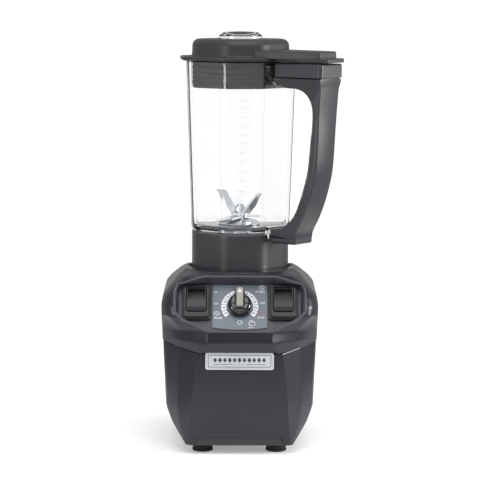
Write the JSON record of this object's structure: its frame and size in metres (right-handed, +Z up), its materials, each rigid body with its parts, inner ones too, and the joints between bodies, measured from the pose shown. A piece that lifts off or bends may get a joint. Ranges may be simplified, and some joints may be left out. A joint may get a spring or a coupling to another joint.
{
  "type": "countertop blender",
  "caption": "Countertop bar blender: charcoal base with rocker paddles and a timer knob, clear octagonal jar with side handle, black lid and clear filler cap.",
  "frame": {"origin": "middle of the object's bounding box at worktop level", "axes": "+Z up, -Y to the front with the controls, +X to the right of a person facing the front"},
  "size_m": [0.1936, 0.2094, 0.45],
  "materials": {
    "housing_charcoal": "moulded, softly glossy charcoal",
    "cover_black": "moulded, fine grain",
    "badge_silver": "brushed face, bright rim",
    "rubber_black": "matte",
    "label_grey": "printed film, satin",
    "switch_black": "moulded satin",
    "inner_black": "moulded",
    "knob_gloss": "polished",
    "pointer_grey": "satin",
    "iron_laminate": "laminated, lacquered",
    "copper": "enamelled wire",
    "steel": "turned",
    "blade_steel": "ground and polished",
    "brass": "stamped",
    "circuit_board": "solder mask",
    "jar_clear": "clear, polished",
    "collar_black": "moulded satin",
    "handle_satin": "moulded satin, fine grain",
    "lid_black": "soft matte",
    "coupling_black": "moulded"
  },
  "bodies": {
    "base": {"upper_housing": "housing_charcoal", "lower_housing": "housing_charcoal", "bottom_cover": "cover_black", "control_tray": "housing_charcoal", "badge_plate": "badge_silver", "vent_grille": "cover_black", "cord_inlet": "rubber_black", "foot_front_left": "rubber_black", "foot_front_right": "rubber_black", "foot_rear_left": "rubber_black", "foot_rear_right": "rubber_black", "foot_screw_front_left": "steel", "foot_screw_front_right": "steel", "foot_screw_rear_left": "steel", "foot_screw_rear_right": "steel", "control_label": "label_grey", "timer_body": "inner_black", "speed_switch_frame": "switch_black", "speed_switch_body": "inner_black", "start_switch_frame": "switch_black", "start_switch_body": "inner_black", "motor_stator": "iron_laminate", "field_coil_left": "copper", "field_coil_right": "copper", "motor_bracket_lower": "steel", "motor_bracket_upper": "steel", "motor_bearing_lower": "steel", "motor_bearing_upper": "steel", "brush_holder_left": "brass", "brush_holder_right": "brass", "fan_shroud": "inner_black", "control_board": "circuit_board", "jar_pad": "rubber_black"},
    "rotor": {"motor_shaft": "steel", "armature": "iron_laminate", "commutator": "copper", "cooling_fan": "inner_black", "drive_coupling": "steel"},
    "speed_rocker": {"speed_paddle": "switch_black"},
    "start_rocker": {"start_paddle": "switch_black"},
    "knob": {"timer_knob": "knob_gloss", "knob_pointer": "pointer_grey"},
    "jar": {"jar": "jar_clear", "jar_collar": "collar_black", "handle_grip": "handle_satin", "handle_top_block": "handle_satin", "handle_foot_cap": "handle_satin", "blade_housing": "blade_steel", "jar_gasket": "rubber_black", "retaining_nut": "inner_black", "blade_bearing": "steel", "shaft_seal": "rubber_black"},
    "blades": {"blade_shaft": "steel", "lower_blade": "blade_steel", "upper_blade": "blade_steel", "blade_nut": "blade_steel", "driven_coupling": "coupling_black"},
    "lid": {"lid": "lid_black", "lid_seal": "rubber_black"},
    "cap": {"filler_cap": "jar_clear"}
  },
  "joints": [
    {"name": "jar_lift", "type": "slide", "parent": "base", "child": "jar", "axis": [0, 0, 1], "range_m": [0, 0.06]},
    {"name": "lid_lift", "type": "slide", "parent": "jar", "child": "lid", "axis": [0, 0, 1], "range_m": [0, 0.05]},
    {"name": "cap_lift", "type": "slide", "parent": "lid", "child": "cap", "axis": [0, 0, 1], "range_m": [0, 0.045]},
    {"name": "motor_spin", "type": "hinge", "parent": "base", "child": "rotor", "pos_m": [-0.01263, 0.0063, 0.09], "axis": [0, 0, 1], "continuous": true},
    {"name": "blade_spin", "type": "hinge", "parent": "jar", "child": "blades", "pos_m": [-0.01263, 0.0063, 0.23], "axis": [0, 0, 1], "continuous": true},
    {"name": "timer_turn", "type": "hinge", "parent": "base", "child": "knob", "pos_m": [-0.01263, -0.08339, 0.16401], "axis": [0, -0.7986, 0.6018], "range_deg": [-140, 140]},
    {"name": "speed_rock", "type": "hinge", "parent": "base", "child": "speed_rocker", "pos_m": [-0.05893, -0.07729, 0.1638], "axis": [1, 0, 0], "range_deg": [-8, 8]},
    {"name": "start_rock", "type": "hinge", "parent": "base", "child": "start_rocker", "pos_m": [0.03367, -0.07729, 0.1638], "axis": [1, 0, 0], "range_deg": [-8, 8], "stiffness_Nm_per_rad": 0.3}
  ],
  "couplings": [
    {"joint": "blade_spin", "follows": "motor_spin", "ratio": 1}
  ]
}
